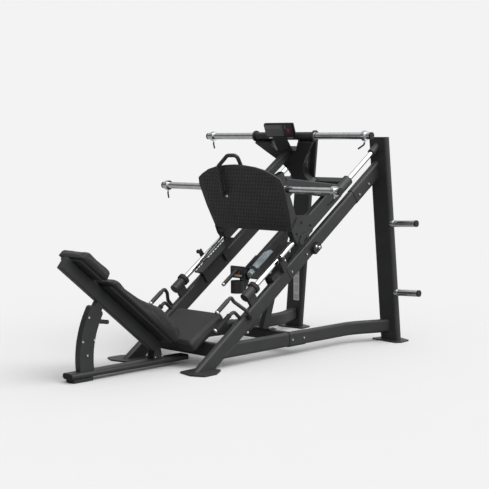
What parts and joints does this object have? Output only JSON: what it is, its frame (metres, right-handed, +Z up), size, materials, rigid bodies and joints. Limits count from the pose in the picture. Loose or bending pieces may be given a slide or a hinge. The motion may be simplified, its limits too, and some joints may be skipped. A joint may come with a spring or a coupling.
{
  "type": "plate-loaded leg press",
  "caption": "Plate-loaded 35 degree sled leg press: seat with reclining backrest, foot plate on a carriage that slides on two guide rods, weight horns and storage pegs.",
  "frame": {"origin": "middle of the footprint on the floor", "axes": "+Z up, +Y towards the uprights (away from the seat), +X across, on the user's right when seated and facing the foot plate"},
  "size_m": [1.75, 2.8792, 1.6521],
  "materials": {
    "frame_paint": "satin fine-textured powder coat",
    "chrome": "polished",
    "rubber": "matt",
    "plastic": "satin",
    "upholstery": "matt vinyl",
    "clear_plastic": "clear tinted"
  },
  "bodies": {
    "frame": {"beam_fittings": "plastic", "catch_blocks": "rubber", "centre_beam": "frame_paint", "centre_post": "frame_paint", "clear_bottle": "clear_plastic", "console_brackets": "frame_paint", "cross_tubes": "frame_paint", "curved_upright": "frame_paint", "end_caps": "rubber", "fixed_handles": "frame_paint", "floor_foot": "rubber", "floor_tube": "frame_paint", "foot_plates": "frame_paint", "frame_bolts": "chrome", "guide_rods": "chrome", "hinge_bracket": "frame_paint", "left_base_beam": "frame_paint", "left_rail": "frame_paint", "left_upright": "frame_paint", "pivot_pins": "chrome", "placards": "plastic", "rail_sleeves": "frame_paint", "right_base_beam": "frame_paint", "right_rail": "frame_paint", "right_upright": "frame_paint", "rod_bumpers": "rubber", "rod_sockets": "frame_paint", "seat_bracket": "frame_paint", "seat_pad": "upholstery", "stop_racks": "frame_paint", "storage_horns": "chrome"},
    "backrest": {"back_frame": "frame_paint", "back_strut": "frame_paint", "back_boards": "frame_paint", "back_pad": "upholstery", "head_pad": "upholstery"},
    "pop_pin": {"back_pop_pin": "plastic"},
    "sled": {"foot_plate": "frame_paint", "sled_posts": "frame_paint", "sled_webs": "frame_paint", "sled_beams": "frame_paint", "sled_arms": "frame_paint", "bearing_housings": "frame_paint", "bearing_liners": "plastic", "sled_cross_tubes": "frame_paint", "sled_centre_tube": "frame_paint", "sled_yoke": "frame_paint", "top_bar": "frame_paint", "plate_horns": "chrome", "horn_caps": "rubber", "top_placard": "plastic", "plate_hoop": "frame_paint"},
    "right_lever": {"right_lever": "frame_paint"},
    "left_lever": {"left_lever": "frame_paint"},
    "right_stop": {"right_range_stop": "frame_paint"},
    "left_stop": {"left_range_stop": "frame_paint"},
    "right_sled_collar": {"right_sled_collar": "chrome"},
    "left_sled_collar": {"left_sled_collar": "chrome"},
    "right_top_collar": {"right_top_collar": "chrome"},
    "left_top_collar": {"left_top_collar": "chrome"}
  },
  "joints": [
    {"name": "sled_slide", "type": "slide", "parent": "frame", "child": "sled", "axis": [0, 0.8192, 0.5736], "range_m": [-0.475, 0.34]},
    {"name": "backrest_tilt", "type": "hinge", "parent": "frame", "child": "backrest", "pos_m": [0, -0.647, 0.13], "axis": [-1, 0, 0], "range_deg": [-2, 12]},
    {"name": "pop_pin_pull", "type": "slide", "parent": "frame", "child": "pop_pin", "axis": [0, 0.985, -0.1725], "range_m": [0, 0.012], "stiffness_N_per_m": 500},
    {"name": "right_lever_turn", "type": "hinge", "parent": "frame", "child": "right_lever", "pos_m": [0.384, -0.11833, 0.32422], "axis": [1, 0, 0], "range_deg": [-15, 10]},
    {"name": "right_stop_slide", "type": "slide", "parent": "frame", "child": "right_stop", "axis": [0, 0.8192, 0.5736], "range_m": [-0.1, 0.14]},
    {"name": "left_lever_turn", "type": "hinge", "parent": "frame", "child": "left_lever", "pos_m": [-0.384, -0.11833, 0.32422], "axis": [1, 0, 0], "range_deg": [-15, 10]},
    {"name": "left_stop_slide", "type": "slide", "parent": "frame", "child": "left_stop", "axis": [0, 0.8192, 0.5736], "range_m": [-0.1, 0.14]},
    {"name": "right_sled_collar_slide", "type": "slide", "parent": "sled", "child": "right_sled_collar", "axis": [1, 0, 0], "range_m": [-0.355, 0.02]},
    {"name": "right_top_collar_slide", "type": "slide", "parent": "sled", "child": "right_top_collar", "axis": [1, 0, 0], "range_m": [-0.4, 0.02]},
    {"name": "left_sled_collar_slide", "type": "slide", "parent": "sled", "child": "left_sled_collar", "axis": [-1, 0, 0], "range_m": [-0.355, 0.02]},
    {"name": "left_top_collar_slide", "type": "slide", "parent": "sled", "child": "left_top_collar", "axis": [-1, 0, 0], "range_m": [-0.4, 0.02]}
  ]
}
